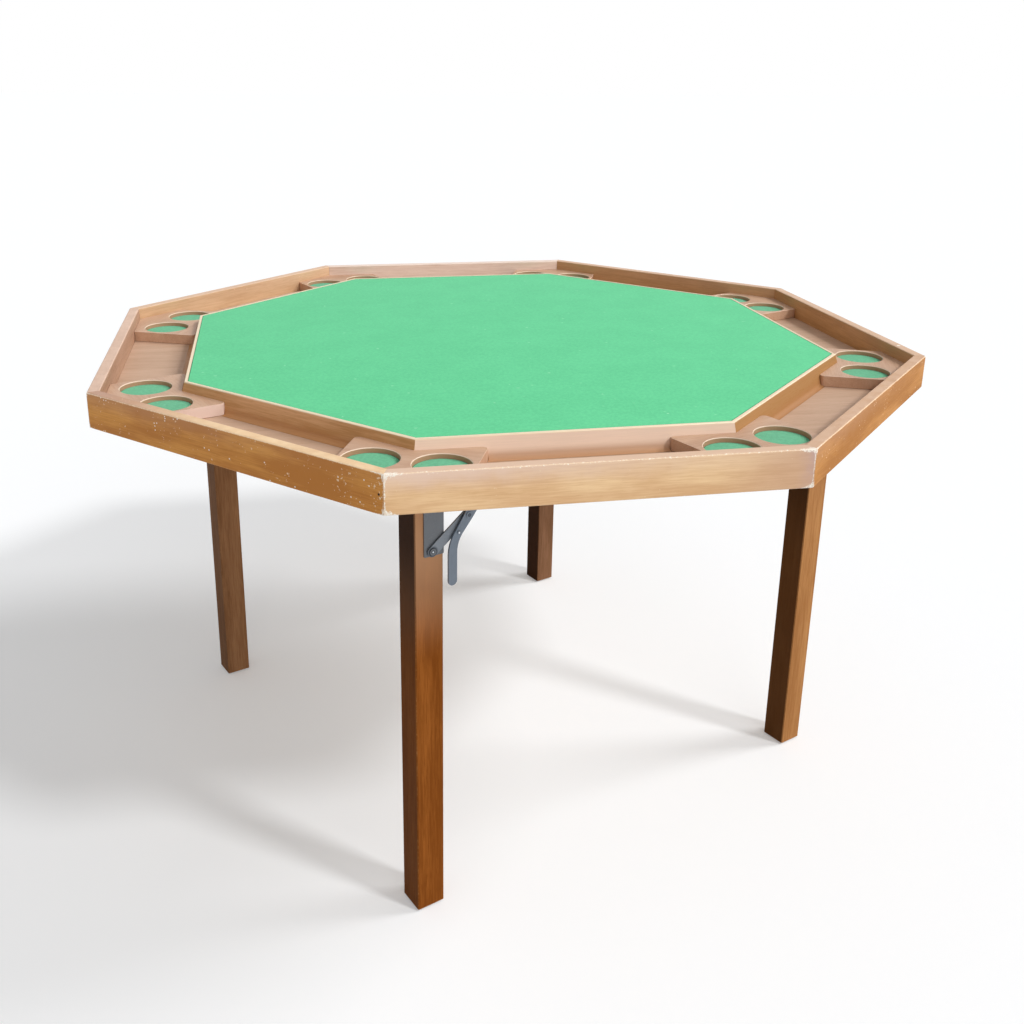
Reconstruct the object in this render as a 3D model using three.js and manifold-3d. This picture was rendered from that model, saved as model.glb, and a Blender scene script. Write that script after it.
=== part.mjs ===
// Folding poker table. An eight-sided top holds a felt playing deck in the middle, a chip trough
// along each side and a block with two cup recesses at each corner. Four square legs fold flat
// under the top, each held open by a two-link toggle brace with a hanging release lever.
// Millimetres, +Z up. The origin is on the floor, under the middle of the table.
import * as THREE from 'three';
import * as BufferGeometryUtils from 'three/addons/utils/BufferGeometryUtils.js';
import Module from 'manifold-3d';

const wasm = await Module();
wasm.setup();

// Overall sizes
const tableHeight = 762;
const acrossFlats = 1340;
const jointGap = 0.3;
const cutOverrun = 5;

// Rim boards
const rimHeight = 54.5;
const rimThickness = 18.5;
const rimOuterRound = 2.5;
const rimInnerRound = 2.5;
const rimFootRound = 2.5;
const rimCornerRound = 9;

// Base panel, which is the floor of the troughs
const basePanelThickness = 12;
const basePanelReveal = 4;

// Playing deck, which leaves a trough inside the rim
const troughWidth = 106.5;
const deckDrop = 6;
const deckEdgeWidth = 5;
const deckFlare = 9;
const deckEdgeRound = 1;
const feltThickness = 1.5;
const feltDrop = 0.3;
const coveRadius = 9;

// Corner blocks and their cup recesses
const cornerBlockThickness = 18.5;
const cornerBlockReach = 100;
const blockCornerRound = 7;
const cupRadius = 39;
const cupDepth = 7;
const cupEdgeRound = 1.5;
const cupSpacing = 95;
const cupFeltThickness = 1.5;

// Legs and their floor glides
const legWidth = 45;
const legEdgeChamfer = 1.5;
const legFromCorner = 148;
const legTopRise = 18;
const legTopFoldRound = 14;
const legTopBackRound = 4;
const glideThickness = 3;
const glideRadius = 14;
const glideEdgeRound = 1.5;

// Leg pivot, in the plane that the leg folds in
const pivotDrop = 23.5;
const pivotOffset = 6.5;
const pivotPinRadius = 4;
const pivotHeadRadius = 7;
const rivetHeadThickness = 1;

// Steel plate on each leg
const plateThickness = 2;
const plateWidth = 31;
const plateInset = 0.5;
const plateBelowPivot = 102;
const plateCornerRound = 2;

// Toggle brace
const braceThickness = 2.5;
const braceLayerGap = 0.4;
const linkPivotOffset = 3.1;
const linkPivotBelow = 94.6;
const kneeReach = 52.1;
const kneeDrop = 51.1;
const braceEarReach = 95.4;
const braceEarDrop = 14.5;
const lowerLinkWidth = 15.5;
const upperLinkWidth = 15;
const leverNeckWidth = 12;
const leverWidth = 14;
const leverDrop = 100;
const leverBendRadius = 52;
const stopBeyondKnee = 27.9;
const rivetRadius = 3;
const rivetHeadRadius = 5;
const stopRivetRadius = 3;

// Table bracket
const bracketThickness = 2.5;
const bracketOverhang = 14;
const bracketSideMargin = 3;
const bracketStripWidth = 28;
const pivotEarRadius = 12;
const earFootSpread = 6;

// Screws, whose heads are flush
const screwRadius = 2;
const panelScrewLength = 8;
const legScrewLength = 20;
const screwEdgeDistance = 7;
const plateScrewShares = [0.25, 0.5, 0.75];

// Angles of the eight-sided top
const sideCount = 8;
const legCount = 4;
const sideAngle = 2 * Math.PI / sideCount;
const halfSideAngle = sideAngle / 2;
const frontAngle = -Math.PI / 2;
const legTurn = 2 * Math.PI / legCount;

// Levels worked out from the sizes
const rimBottomZ = tableHeight - rimHeight;
const undersideZ = rimBottomZ + basePanelReveal;
const troughFloorZ = undersideZ + basePanelThickness;
const deckTopZ = tableHeight - deckDrop;
const blockBottomZ = troughFloorZ + jointGap;
const blockTopZ = troughFloorZ + cornerBlockThickness;
const feltTopZ = deckTopZ - feltDrop;
const pivotZ = undersideZ - pivotDrop;
const legTopZ = pivotZ + legTopRise;

// Distances from the middle of the table to flat faces
const rimOuterFlat = acrossFlats / 2;
const rimInnerFlat = rimOuterFlat - rimThickness;
const panelFlat = rimInnerFlat - jointGap;
const deckFootFlat = rimInnerFlat - troughWidth;
const deckTopFlat = deckFootFlat - deckFlare;
const deckInnerFlat = deckTopFlat - deckEdgeWidth;
const feltFlat = deckInnerFlat - jointGap;
const blockInnerFlat = deckFootFlat + jointGap;
const deckWallHeight = deckTopZ - deckEdgeRound - blockBottomZ;
const blockRise = blockTopZ - blockBottomZ;
const blockTopInnerFlat = blockInnerFlat - deckFlare * blockRise / deckWallHeight;
const blockMiddleFlat = (blockTopInnerFlat + panelFlat) / 2;
const troughHalfLength = blockInnerFlat * Math.tan(halfSideAngle) - cornerBlockReach;

// How finely round shapes are divided
const edgeRoundSteps = 3;
const roundEndSteps = 8;
const holeSteps = 12;
const pinSteps = 16;
const glideSteps = 24;
const cupSteps = 32;
const leverBendSteps = 5;
const blockCornerSteps = 5;

const materials = {
  rimWood: { color: 0xb5793f, roughness: 0.42, metalness: 0 },
  panelWood: { color: 0xb98a62, roughness: 0.55, metalness: 0 },
  blockWood: { color: 0xc39a78, roughness: 0.48, metalness: 0 },
  edgeWood: { color: 0xcf9c66, roughness: 0.45, metalness: 0 },
  legWood: { color: 0x7a4f30, roughness: 0.45, metalness: 0 },
  felt: { color: 0x63cf97, roughness: 0.95, metalness: 0 },
  steel: { color: 0x6d7883, roughness: 0.4, metalness: 0.9 },
  glide: { color: 0x9a9c9e, roughness: 0.35, metalness: 0.9 },
};

// Turns a closed geometry into a solid that can be cut and joined
function solidOf(geometry) {
  const bare = geometry.clone();
  bare.deleteAttribute('normal');
  bare.deleteAttribute('uv');
  const merged = BufferGeometryUtils.mergeVertices(bare);
  const mesh = new wasm.Mesh({
    numProp: 3,
    vertProperties: new Float32Array(merged.attributes.position.array),
    triVerts: new Uint32Array(merged.index.array),
  });
  return new wasm.Manifold(mesh);
}

// Turns a solid back into a geometry with flat faces
function geometryOf(solid) {
  const mesh = solid.getMesh();
  const geometry = new THREE.BufferGeometry();
  geometry.setAttribute('position', new THREE.BufferAttribute(new Float32Array(mesh.vertProperties), 3));
  geometry.setIndex(new THREE.BufferAttribute(new Uint32Array(mesh.triVerts), 1));
  const flat = geometry.toNonIndexed();
  flat.computeVertexNormals();
  return flat;
}

// A plan outline raised from one level to another
function upright(shape, bottomZ, topZ) {
  const options = { depth: topZ - bottomZ, bevelEnabled: false, curveSegments: edgeRoundSteps };
  const geometry = new THREE.ExtrudeGeometry(shape, options);
  geometry.translate(0, 0, bottomZ);
  return solidOf(geometry);
}

// An outline drawn in X and Z, thick in Y between two places
function sideways(shape, nearY, farY, steps) {
  const options = { depth: farY - nearY, bevelEnabled: false, curveSegments: steps };
  const geometry = new THREE.ExtrudeGeometry(shape, options);
  geometry.rotateX(Math.PI / 2);
  geometry.translate(0, farY, 0);
  return solidOf(geometry);
}

// A round bar along Y
function pinAcross(x, z, radius, nearY, farY) {
  const geometry = new THREE.CylinderGeometry(radius, radius, farY - nearY, pinSteps);
  geometry.translate(x, (nearY + farY) / 2, z);
  return solidOf(geometry);
}

// A round bar along Z
function pinUpright(x, y, radius, bottomZ, topZ, steps) {
  const geometry = new THREE.CylinderGeometry(radius, radius, topZ - bottomZ, steps);
  geometry.rotateX(Math.PI / 2);
  geometry.translate(x, y, (bottomZ + topZ) / 2);
  return solidOf(geometry);
}

// The outline through a list of corners
function outlineOf(corners) {
  const shape = new THREE.Shape();
  shape.moveTo(corners[0][0], corners[0][1]);
  for (const corner of corners.slice(1)) {
    shape.lineTo(corner[0], corner[1]);
  }
  shape.closePath();
  return shape;
}

// A point given by its distance along a side's outward normal and along the side itself
function onSide(angle, outward, along) {
  const x = outward * Math.cos(angle) - along * Math.sin(angle);
  const y = outward * Math.sin(angle) + along * Math.cos(angle);
  return [x, y];
}

// An eight-sided plan outline with a round at each corner
function octagon(flat, round) {
  const shape = new THREE.Shape();
  const centreDistance = (flat - round) / Math.cos(halfSideAngle);
  for (let side = 0; side < sideCount; side += 1) {
    const normal = side * sideAngle;
    const corner = normal + halfSideAngle;
    const x = centreDistance * Math.cos(corner);
    const y = centreDistance * Math.sin(corner);
    if (round > 0) {
      shape.absarc(x, y, round, normal, normal + sideAngle, false);
    } else if (side === 0) {
      shape.moveTo(x, y);
    } else {
      shape.lineTo(x, y);
    }
  }
  shape.closePath();
  return shape;
}

// Points round a half circle, from an angle on, without its two ends
function halfRound(centre, radius, fromAngle) {
  const points = [];
  for (let step = 1; step < roundEndSteps; step += 1) {
    const turn = fromAngle + Math.PI * step / roundEndSteps;
    points.push([centre[0] + radius * Math.cos(turn), centre[1] + radius * Math.sin(turn)]);
  }
  return points;
}

// The outline of a flat bar along a middle line, given its half width at each point, with round ends
function barOutline(points, halfWidths) {
  const quarter = Math.PI / 2;
  const last = points.length - 1;
  const left = [];
  const right = [];
  const headings = points.map((point, index) => {
    const before = points[Math.max(index - 1, 0)];
    const after = points[Math.min(index + 1, last)];
    return Math.atan2(after[1] - before[1], after[0] - before[0]);
  });
  points.forEach(([x, y], index) => {
    const acrossX = halfWidths[index] * Math.cos(headings[index] + quarter);
    const acrossY = halfWidths[index] * Math.sin(headings[index] + quarter);
    left.push([x + acrossX, y + acrossY]);
    right.push([x - acrossX, y - acrossY]);
  });
  const endRound = halfRound(points[last], halfWidths[last], headings[last] - quarter);
  const startRound = halfRound(points[0], halfWidths[0], headings[0] + quarter);
  return outlineOf([...right, ...endRound, ...left.reverse(), ...startRound]);
}

// An eight-sided solid that tapers between two levels
function octagonTaper(bottomFlat, bottomZ, topFlat, topZ) {
  const stretch = 1 / Math.cos(halfSideAngle);
  const corners = [[0, bottomZ], [bottomFlat, bottomZ], [topFlat, topZ], [0, topZ]];
  const profile = corners.map(([flat, z]) => new THREE.Vector2(flat * stretch, z));
  const geometry = new THREE.LatheGeometry(profile, sideCount, halfSideAngle);
  geometry.rotateX(Math.PI / 2);
  return solidOf(geometry);
}

const table = new THREE.Group();

function addPiece(parent, name, geometry, finish) {
  const mesh = new THREE.Mesh(geometry, new THREE.MeshStandardMaterial(materials[finish]));
  mesh.name = name;
  parent.add(mesh);
  return mesh;
}

// Rim: eight boards on edge, mitred at the corners, with rounded top edges
function rimBoard() {
  const outer = rimOuterFlat;
  const inner = rimInnerFlat;
  const outerRoundZ = tableHeight - rimOuterRound;
  const innerRoundZ = tableHeight - rimInnerRound;
  const footRoundZ = rimBottomZ + rimFootRound;
  const quarter = Math.PI / 2;
  const profile = new THREE.Shape();
  profile.absarc(outer - rimFootRound, footRoundZ, rimFootRound, -quarter, 0, false);
  profile.absarc(outer - rimOuterRound, outerRoundZ, rimOuterRound, 0, quarter, false);
  profile.absarc(inner + rimInnerRound, innerRoundZ, rimInnerRound, quarter, 2 * quarter, false);
  profile.lineTo(inner, rimBottomZ);
  profile.closePath();
  const halfLength = rimOuterFlat * Math.tan(halfSideAngle) + cutOverrun;
  const board = sideways(profile, -halfLength, halfLength, edgeRoundSteps);
  const tip = jointGap / 2 / Math.sin(halfSideAngle);
  const reach = acrossFlats;
  const spread = (reach - tip) * Math.tan(halfSideAngle);
  const wedge = outlineOf([[tip, 0], [reach, -spread], [reach, spread]]);
  const sector = upright(wedge, rimBottomZ - cutOverrun, tableHeight + cutOverrun);
  const outline = octagon(rimOuterFlat, rimCornerRound);
  const rounded = upright(outline, rimBottomZ - cutOverrun, tableHeight + cutOverrun);
  return geometryOf(board.intersect(sector).intersect(rounded));
}

const sideNames = ['front', 'front_right', 'right', 'back_right', 'back', 'back_left', 'left', 'front_left'];
const rimGeometry = rimBoard();
sideNames.forEach((sideName, side) => {
  const board = addPiece(table, `rim_board_${sideName}`, rimGeometry, 'rimWood');
  board.rotation.z = frontAngle + side * sideAngle;
});

// Where the legs stand: one below every second corner, turned square to its neighbours
const legRadius = rimInnerFlat / Math.cos(halfSideAngle) - legFromCorner;
const legNames = ['front', 'right', 'back', 'left'];
const legPlaces = legNames.map((name, leg) => {
  const angle = frontAngle - halfSideAngle + leg * legTurn;
  const turn = angle + Math.PI / 2 + sideAngle;
  return { name, turn, x: legRadius * Math.cos(angle), y: legRadius * Math.sin(angle) };
});

// Places in a leg's fold plane: X toward the brace, Z up
const legHalf = legWidth / 2;
const kneeX = pivotOffset + kneeReach;
const kneeZ = pivotZ - kneeDrop;
const linkPivotZ = pivotZ - linkPivotBelow;
const braceEarX = pivotOffset + braceEarReach;
const braceEarZ = undersideZ - braceEarDrop;

// Layers of steel outside the leg's outer face, at minus Y
const plateFar = -legHalf - jointGap;
const plateNear = plateFar - plateThickness;
const linkFar = plateNear - jointGap;
const linkNear = linkFar - braceThickness;
const headNear = linkNear - rivetHeadThickness;
const leverFar = headNear - braceLayerGap;
const leverNear = leverFar - braceThickness;
const earFar = leverNear - jointGap;
const earNear = earFar - bracketThickness;
const rearEarNear = legHalf + jointGap;
const rearEarFar = rearEarNear + bracketThickness;

// Outline of the table bracket: a square part round the leg's pivot and a strip to the brace's ear
const bracketTopZ = undersideZ - jointGap;
const bracketBottomZ = bracketTopZ - bracketThickness;
const bracketLowX = pivotOffset - pivotEarRadius - bracketOverhang;
const bracketStepX = pivotOffset + pivotEarRadius + bracketOverhang;
const bracketHighX = braceEarX + bracketOverhang;
const bracketNearY = earNear - bracketSideMargin;
const bracketFarY = rearEarFar + bracketSideMargin;
const bracketStripY = bracketNearY + bracketStripWidth;
const bracketScrews = [
  [bracketLowX + screwEdgeDistance, bracketNearY + screwEdgeDistance],
  [bracketLowX + screwEdgeDistance, bracketFarY - screwEdgeDistance],
  [bracketStepX - screwEdgeDistance, bracketFarY - screwEdgeDistance],
  [bracketHighX - screwEdgeDistance, bracketStripY - screwEdgeDistance],
];

// Base panel: one sheet inside the rim, drilled for the screws of the table brackets
const holeRadius = screwRadius + jointGap;
const holeBottom = undersideZ - cutOverrun;
const holeTop = undersideZ + panelScrewLength + jointGap;
let basePanel = upright(octagon(panelFlat, 0), undersideZ, troughFloorZ);
for (const place of legPlaces) {
  for (const [along, across] of bracketScrews) {
    const [dx, dy] = onSide(place.turn, along, across);
    const hole = pinUpright(place.x + dx, place.y + dy, holeRadius, holeBottom, holeTop, holeSteps);
    basePanel = basePanel.subtract(hole);
  }
}
addPiece(table, 'base_panel', geometryOf(basePanel), 'panelWood');

// Deck: a core board, its flared edging with a cove in each trough, and the felt on top
const coreTopZ = feltTopZ - feltThickness - jointGap;
addPiece(table, 'deck_core', geometryOf(upright(octagon(feltFlat, 0), blockBottomZ, coreTopZ)), 'panelWood');
const feltSolid = upright(octagon(feltFlat, 0), feltTopZ - feltThickness, feltTopZ);
addPiece(table, 'playing_felt', geometryOf(feltSolid), 'felt');

// Half the length of a block-free bay, at a distance from the middle of the table
function bayHalf(flat) {
  return troughHalfLength + (flat - blockInnerFlat) * Math.tan(halfSideAngle);
}

function deckEdging() {
  const stretch = 1 / Math.cos(halfSideAngle);
  const corners = [
    [deckInnerFlat, blockBottomZ],
    [deckFootFlat, blockBottomZ],
    [deckTopFlat, deckTopZ - deckEdgeRound],
    [deckTopFlat - deckEdgeRound, deckTopZ],
    [deckInnerFlat, deckTopZ],
    [deckInnerFlat, blockBottomZ],
  ];
  const profile = corners.map(([flat, z]) => new THREE.Vector2(flat * stretch, z));
  const ringGeometry = new THREE.LatheGeometry(profile, sideCount, halfSideAngle);
  ringGeometry.rotateX(Math.PI / 2);
  let ring = solidOf(ringGeometry);
  const lean = Math.atan(deckFlare / deckWallHeight);
  const coveX = deckFootFlat + coveRadius * (1 - Math.sin(lean)) / Math.cos(lean);
  const coveZ = blockBottomZ + coveRadius;
  const buriedX = deckInnerFlat + jointGap;
  const cove = new THREE.Shape();
  cove.moveTo(buriedX, blockBottomZ);
  cove.lineTo(coveX, blockBottomZ);
  cove.absarc(coveX, coveZ, coveRadius, -Math.PI / 2, lean - Math.PI, true);
  cove.lineTo(buriedX, coveZ - coveRadius * Math.sin(lean));
  cove.closePath();
  const strip = sideways(cove, -rimOuterFlat, rimOuterFlat, edgeRoundSteps * 2);
  const endGap = jointGap / Math.cos(halfSideAngle);
  const outside = coveX + cutOverrun;
  const bay = outlineOf([
    [buriedX, endGap - bayHalf(buriedX)],
    [outside, endGap - bayHalf(outside)],
    [outside, bayHalf(outside) - endGap],
    [buriedX, bayHalf(buriedX) - endGap],
  ]);
  const coveStrip = strip.intersect(upright(bay, blockBottomZ - cutOverrun, deckTopZ));
  for (let side = 0; side < sideCount; side += 1) {
    const degrees = THREE.MathUtils.radToDeg(side * sideAngle);
    ring = ring.add(coveStrip.rotate([0, 0, degrees]));
  }
  return geometryOf(ring);
}

addPiece(table, 'deck_edging', deckEdging(), 'edgeWood');

// The end of a corner block's arm, rounded beside the deck, in its side's own frame
function blockEnd() {
  const openAngle = Math.PI / 2 - halfSideAngle;
  const centreFlat = blockTopInnerFlat + blockCornerRound;
  const centreAlong = bayHalf(blockTopInnerFlat) + blockCornerRound / Math.tan(openAngle / 2);
  const places = [[deckTopFlat, centreAlong]];
  for (let step = 0; step <= blockCornerSteps; step += 1) {
    const turn = Math.PI + (Math.PI - openAngle) * step / blockCornerSteps;
    const flat = centreFlat + blockCornerRound * Math.cos(turn);
    places.push([flat, centreAlong + blockCornerRound * Math.sin(turn)]);
  }
  places.push([panelFlat, bayHalf(panelFlat)]);
  return places;
}

// Corner blocks: two arms meeting on the corner's own line, each arm with one cup recess
function cornerBlock() {
  const end = blockEnd();
  const corners = [
    [deckTopFlat / Math.cos(halfSideAngle), 0],
    ...end.map(([flat, along]) => onSide(-halfSideAngle, flat, along)),
    [panelFlat / Math.cos(halfSideAngle), 0],
    ...end.reverse().map(([flat, along]) => onSide(halfSideAngle, flat, -along)),
  ];
  const deckSpace = octagonTaper(
    deckFootFlat + jointGap,
    blockBottomZ,
    deckTopFlat + jointGap,
    deckTopZ - deckEdgeRound,
  );
  const turned = deckSpace.rotate([0, 0, THREE.MathUtils.radToDeg(halfSideAngle)]);
  let block = upright(outlineOf(corners), blockBottomZ, blockTopZ).subtract(turned);
  const recessDepth = cupDepth + cupFeltThickness + jointGap;
  const points = [[0, -recessDepth], [cupRadius, -recessDepth], [cupRadius, -cupEdgeRound]];
  for (let step = 1; step <= edgeRoundSteps; step += 1) {
    const turn = Math.PI / 2 * step / edgeRoundSteps;
    const x = cupRadius + cupEdgeRound * (1 - Math.cos(turn));
    points.push([x, cupEdgeRound * (Math.sin(turn) - 1)]);
  }
  points.push([cupRadius + cupEdgeRound, cutOverrun], [0, cutOverrun]);
  const profile = points.map(([x, y]) => new THREE.Vector2(x, y));
  const cutter = new THREE.LatheGeometry(profile, cupSteps);
  cutter.rotateX(Math.PI / 2);
  for (const [x, y] of cupPlaces()) {
    const placed = cutter.clone();
    placed.translate(x, y, blockTopZ);
    block = block.subtract(solidOf(placed));
  }
  return geometryOf(block);
}

// The two cups of a corner, in the corner's own frame, on the middle line of each arm
function cupPlaces() {
  const half = cupSpacing / 2;
  const along = blockMiddleFlat * Math.tan(halfSideAngle) - half / Math.cos(halfSideAngle);
  return [onSide(-halfSideAngle, blockMiddleFlat, along), onSide(halfSideAngle, blockMiddleFlat, -along)];
}

const blockGeometry = cornerBlock();
const feltBottomZ = blockTopZ - cupDepth - cupFeltThickness;
const padGeometry = new THREE.CylinderGeometry(
  cupRadius - jointGap,
  cupRadius - jointGap,
  cupFeltThickness,
  cupSteps,
);
padGeometry.rotateX(Math.PI / 2);
for (let corner = 0; corner < sideCount; corner += 1) {
  const holder = new THREE.Group();
  holder.rotation.z = frontAngle - halfSideAngle + corner * sideAngle;
  table.add(holder);
  addPiece(holder, `corner_block_${corner + 1}`, blockGeometry, 'blockWood');
  const cupNames = ['first', 'second'];
  cupPlaces().forEach(([x, y], index) => {
    const pad = addPiece(holder, `cup_felt_${corner + 1}_${cupNames[index]}`, padGeometry, 'felt');
    pad.position.set(x, y, feltBottomZ + cupFeltThickness / 2);
  });
}

// Leg: a square post with chamfered edges, bored for the pivot pin and the plate's screws
const plateHighX = legHalf - plateInset;
const plateLowX = plateHighX - plateWidth;
const plateScrews = plateScrewShares.map((share, index) => {
  const z = pivotZ - plateBelowPivot * share;
  return index % 2 === 0 ? [plateHighX - screwEdgeDistance, z] : [plateLowX + screwEdgeDistance, z];
});

function legPost() {
  const quarter = Math.PI / 2;
  const flat = legHalf - legEdgeChamfer;
  const section = outlineOf([
    [legHalf, -flat],
    [legHalf, flat],
    [flat, legHalf],
    [-flat, legHalf],
    [-legHalf, flat],
    [-legHalf, -flat],
    [-flat, -legHalf],
    [flat, -legHalf],
  ]);
  const post = upright(section, glideThickness + jointGap, legTopZ + cutOverrun);
  const foldRound = legTopFoldRound;
  const backRound = legTopBackRound;
  const side = new THREE.Shape();
  side.moveTo(-legHalf, -cutOverrun);
  side.lineTo(legHalf, -cutOverrun);
  side.absarc(legHalf - foldRound, legTopZ - foldRound, foldRound, 0, quarter, false);
  side.absarc(backRound - legHalf, legTopZ - backRound, backRound, quarter, 2 * quarter, false);
  side.closePath();
  const boreNear = -legHalf - cutOverrun;
  const boreFar = legHalf + cutOverrun;
  let leg = post.intersect(sideways(side, boreNear, boreFar, roundEndSteps));
  leg = leg.subtract(pinAcross(pivotOffset, pivotZ, pivotPinRadius + jointGap, boreNear, boreFar));
  const screwTip = plateNear + legScrewLength + jointGap;
  for (const [x, z] of plateScrews) {
    leg = leg.subtract(pinAcross(x, z, screwRadius + jointGap, boreNear, screwTip));
  }
  return geometryOf(leg);
}

// Glide: a round steel foot with an eased lower edge
function glide() {
  const low = glideRadius - glideEdgeRound;
  const corners = [
    [0, 0],
    [low, 0],
    [glideRadius, glideEdgeRound],
    [glideRadius, glideThickness],
    [0, glideThickness],
  ];
  const profile = corners.map(([radius, z]) => new THREE.Vector2(radius, z));
  const geometry = new THREE.LatheGeometry(profile, glideSteps);
  geometry.rotateX(Math.PI / 2);
  return geometryOf(solidOf(geometry));
}

// Leg plate: carries the rivet that the lower link turns on, and its screw shanks go into the leg
function legPlate() {
  const quarter = Math.PI / 2;
  const low = pivotZ - plateBelowPivot;
  const high = legTopZ - legTopFoldRound;
  const round = plateCornerRound;
  const outline = new THREE.Shape();
  outline.absarc(plateHighX - round, low + round, round, -quarter, 0, false);
  outline.absarc(plateHighX - round, high - round, round, 0, quarter, false);
  outline.absarc(plateLowX + round, high - round, round, quarter, 2 * quarter, false);
  outline.absarc(plateLowX + round, low + round, round, 2 * quarter, 3 * quarter, false);
  outline.closePath();
  let plate = sideways(outline, plateNear, plateFar, edgeRoundSteps);
  const boreNear = plateNear - cutOverrun;
  const boreFar = plateFar + cutOverrun;
  const headFar = linkNear - jointGap;
  plate = plate.subtract(pinAcross(pivotOffset, pivotZ, pivotPinRadius + jointGap, boreNear, boreFar));
  plate = plate.add(pinAcross(linkPivotOffset, linkPivotZ, rivetRadius, headFar, plateFar));
  plate = plate.add(pinAcross(linkPivotOffset, linkPivotZ, rivetHeadRadius, headNear, headFar));
  for (const [x, z] of plateScrews) {
    plate = plate.add(pinAcross(x, z, screwRadius, plateNear, plateNear + legScrewLength));
  }
  return geometryOf(plate);
}

// Lower link: a flat bar from the leg plate's rivet to the knee
function lowerLink() {
  const half = lowerLinkWidth / 2;
  const outline = barOutline([[linkPivotOffset, linkPivotZ], [kneeX, kneeZ]], [half, half]);
  const link = sideways(outline, linkNear, linkFar, edgeRoundSteps);
  const boreNear = linkNear - cutOverrun;
  const boreFar = linkFar + cutOverrun;
  const bore = pinAcross(linkPivotOffset, linkPivotZ, rivetRadius + jointGap, boreNear, boreFar);
  return geometryOf(link.subtract(bore));
}

// Upper link and release lever: one bar from the table bracket, straight past the knee, then hanging
function releaseLever() {
  const slope = Math.atan2(kneeZ - braceEarZ, kneeX - braceEarX);
  const stopX = kneeX + stopBeyondKnee * Math.cos(slope);
  const stopZ = kneeZ + stopBeyondKnee * Math.sin(slope);
  const bendX = stopX - leverBendRadius * Math.sin(slope);
  const bendZ = stopZ + leverBendRadius * Math.cos(slope);
  const upperHalf = upperLinkWidth / 2;
  const neckHalf = leverNeckWidth / 2;
  const lowerHalf = leverWidth / 2;
  const points = [[braceEarX, braceEarZ], [kneeX, kneeZ], [stopX, stopZ]];
  const halfWidths = [upperHalf, upperHalf, neckHalf];
  const bendAngle = -Math.PI / 2 - slope;
  for (let step = 1; step <= leverBendSteps; step += 1) {
    const share = step / leverBendSteps;
    const heading = slope + bendAngle * share;
    const x = bendX + leverBendRadius * Math.sin(heading);
    const z = bendZ - leverBendRadius * Math.cos(heading);
    points.push([x, z]);
    halfWidths.push(neckHalf + (lowerHalf - neckHalf) * share);
  }
  const hangX = points[points.length - 1][0];
  points.push([hangX, kneeZ - leverDrop + lowerHalf]);
  halfWidths.push(lowerHalf);
  let lever = sideways(barOutline(points, halfWidths), leverNear, leverFar, edgeRoundSteps);
  const boreNear = leverNear - cutOverrun;
  const boreFar = leverFar + cutOverrun;
  const headOut = leverNear - rivetHeadThickness;
  lever = lever.subtract(pinAcross(braceEarX, braceEarZ, rivetRadius + jointGap, boreNear, boreFar));
  lever = lever.add(pinAcross(kneeX, kneeZ, rivetHeadRadius, headOut, linkNear - jointGap));
  lever = lever.add(pinAcross(stopX, stopZ, stopRivetRadius, headOut, leverFar));
  return geometryOf(lever);
}

// An ear that hangs from the bracket's plate round a pivot
function ear(x, z, radius, nearY, farY) {
  const shape = new THREE.Shape();
  shape.moveTo(x + radius + earFootSpread, bracketTopZ);
  shape.lineTo(x - radius - earFootSpread, bracketTopZ);
  shape.lineTo(x - radius - earFootSpread, bracketBottomZ);
  shape.absarc(x, z, radius, Math.PI, 2 * Math.PI, false);
  shape.lineTo(x + radius + earFootSpread, bracketBottomZ);
  shape.closePath();
  return sideways(shape, nearY, farY, roundEndSteps);
}

// Table bracket: the plate under the base panel, two ears with the leg's pivot pin, one for the brace
function tableBracket() {
  const outline = outlineOf([
    [bracketLowX, bracketNearY],
    [bracketHighX, bracketNearY],
    [bracketHighX, bracketStripY],
    [bracketStepX, bracketStripY],
    [bracketStepX, bracketFarY],
    [bracketLowX, bracketFarY],
  ]);
  const braceEarRadius = upperLinkWidth / 2;
  const pinFar = rearEarFar + rivetHeadThickness;
  const braceHeadNear = earNear - rivetHeadThickness;
  let bracket = upright(outline, bracketBottomZ, bracketTopZ);
  bracket = bracket.add(ear(pivotOffset, pivotZ, pivotEarRadius, linkNear, linkFar));
  bracket = bracket.add(ear(pivotOffset, pivotZ, pivotEarRadius, rearEarNear, rearEarFar));
  bracket = bracket.add(ear(braceEarX, braceEarZ, braceEarRadius, earNear, earFar));
  bracket = bracket.add(pinAcross(pivotOffset, pivotZ, pivotPinRadius, headNear, pinFar));
  bracket = bracket.add(pinAcross(pivotOffset, pivotZ, pivotHeadRadius, headNear, linkNear));
  bracket = bracket.add(pinAcross(pivotOffset, pivotZ, pivotHeadRadius, rearEarFar, pinFar));
  bracket = bracket.add(pinAcross(braceEarX, braceEarZ, rivetRadius, earNear, leverFar));
  bracket = bracket.add(pinAcross(braceEarX, braceEarZ, rivetHeadRadius, braceHeadNear, earNear));
  const screwTop = undersideZ + panelScrewLength;
  for (const [x, y] of bracketScrews) {
    bracket = bracket.add(pinUpright(x, y, screwRadius, bracketBottomZ, screwTop, holeSteps));
  }
  return geometryOf(bracket);
}

const legGeometry = legPost();
const glideGeometry = glide();
const plateGeometry = legPlate();
const linkGeometry = lowerLink();
const leverGeometry = releaseLever();
const bracketGeometry = tableBracket();
for (const place of legPlaces) {
  const holder = new THREE.Group();
  holder.position.set(place.x, place.y, 0);
  holder.rotation.z = place.turn;
  table.add(holder);
  addPiece(holder, `leg_${place.name}`, legGeometry, 'legWood');
  addPiece(holder, `glide_${place.name}`, glideGeometry, 'glide');
  addPiece(holder, `leg_plate_${place.name}`, plateGeometry, 'steel');
  addPiece(holder, `table_bracket_${place.name}`, bracketGeometry, 'steel');
  addPiece(holder, `lower_link_${place.name}`, linkGeometry, 'steel');
  addPiece(holder, `release_lever_${place.name}`, leverGeometry, 'steel');
}

export default table;
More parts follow.
